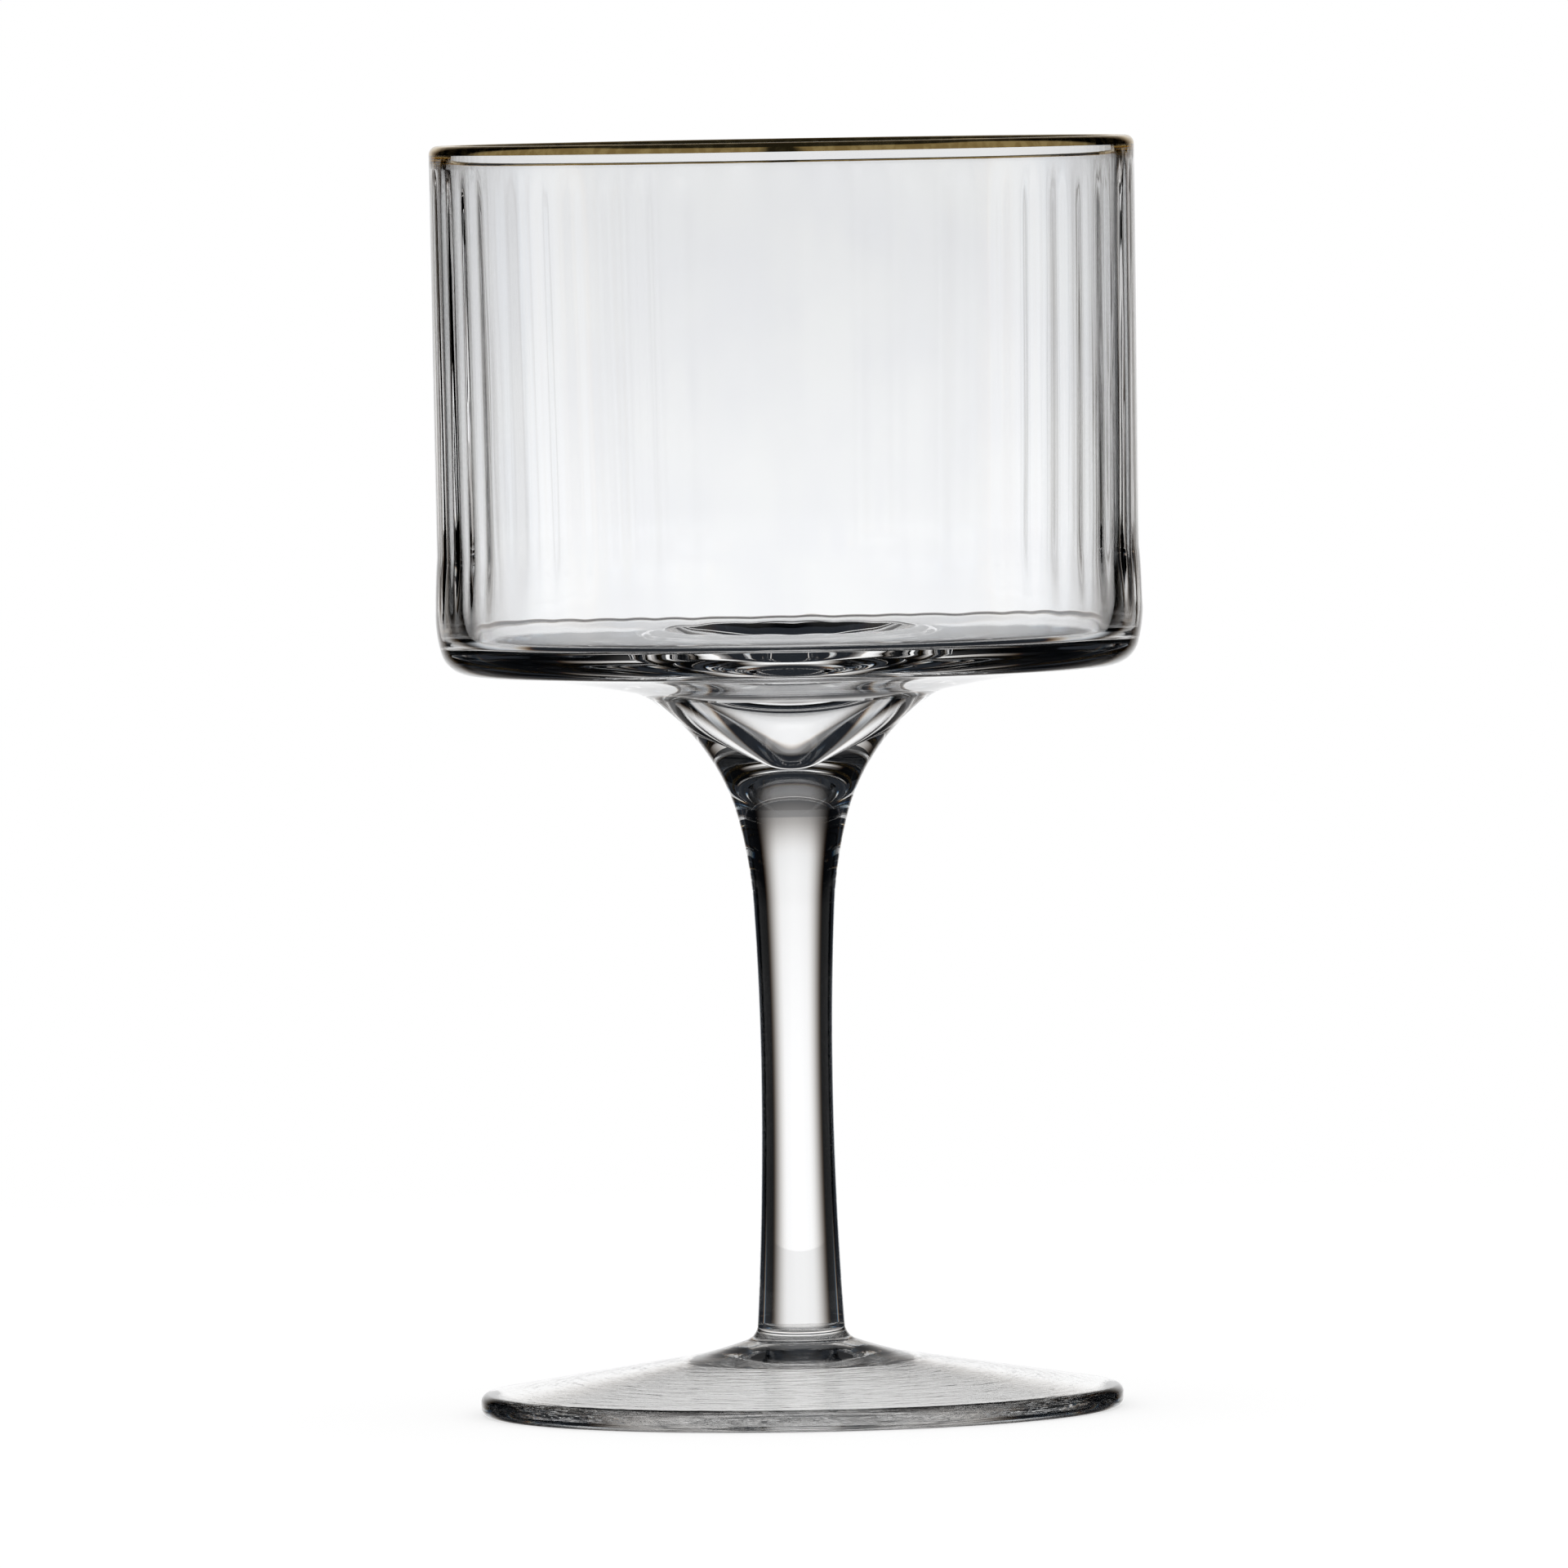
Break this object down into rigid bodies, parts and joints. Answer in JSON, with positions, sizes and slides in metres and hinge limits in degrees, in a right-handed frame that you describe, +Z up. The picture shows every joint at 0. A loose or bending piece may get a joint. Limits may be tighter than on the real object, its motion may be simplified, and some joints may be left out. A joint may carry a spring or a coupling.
{
  "type": "stemmed coupe glass",
  "caption": "Stemmed drinking glass with a wide straight-sided bowl, gold-banded lip, drawn glass stem and flat round foot.",
  "frame": {"origin": "centre of the foot's rest ring, on the surface that the glass stands on", "axes": "+Z up along the axis of the stem and bowl, out of the bowl's mouth"},
  "size_m": [0.088, 0.088, 0.158],
  "materials": {
    "gold": "fired bright gold, polished",
    "bowl_glass": "clear, fire-polished, softly ribbed",
    "stem_glass": "clear, fire-polished",
    "foot_glass": "clear, fire-polished, faint tool marks"
  },
  "bodies": {
    "root": {"gold_rim": "gold", "bowl": "bowl_glass", "stem_collar": "stem_glass", "stem": "stem_glass", "foot_join": "foot_glass", "foot": "foot_glass"}
  },
  "joints": []
}
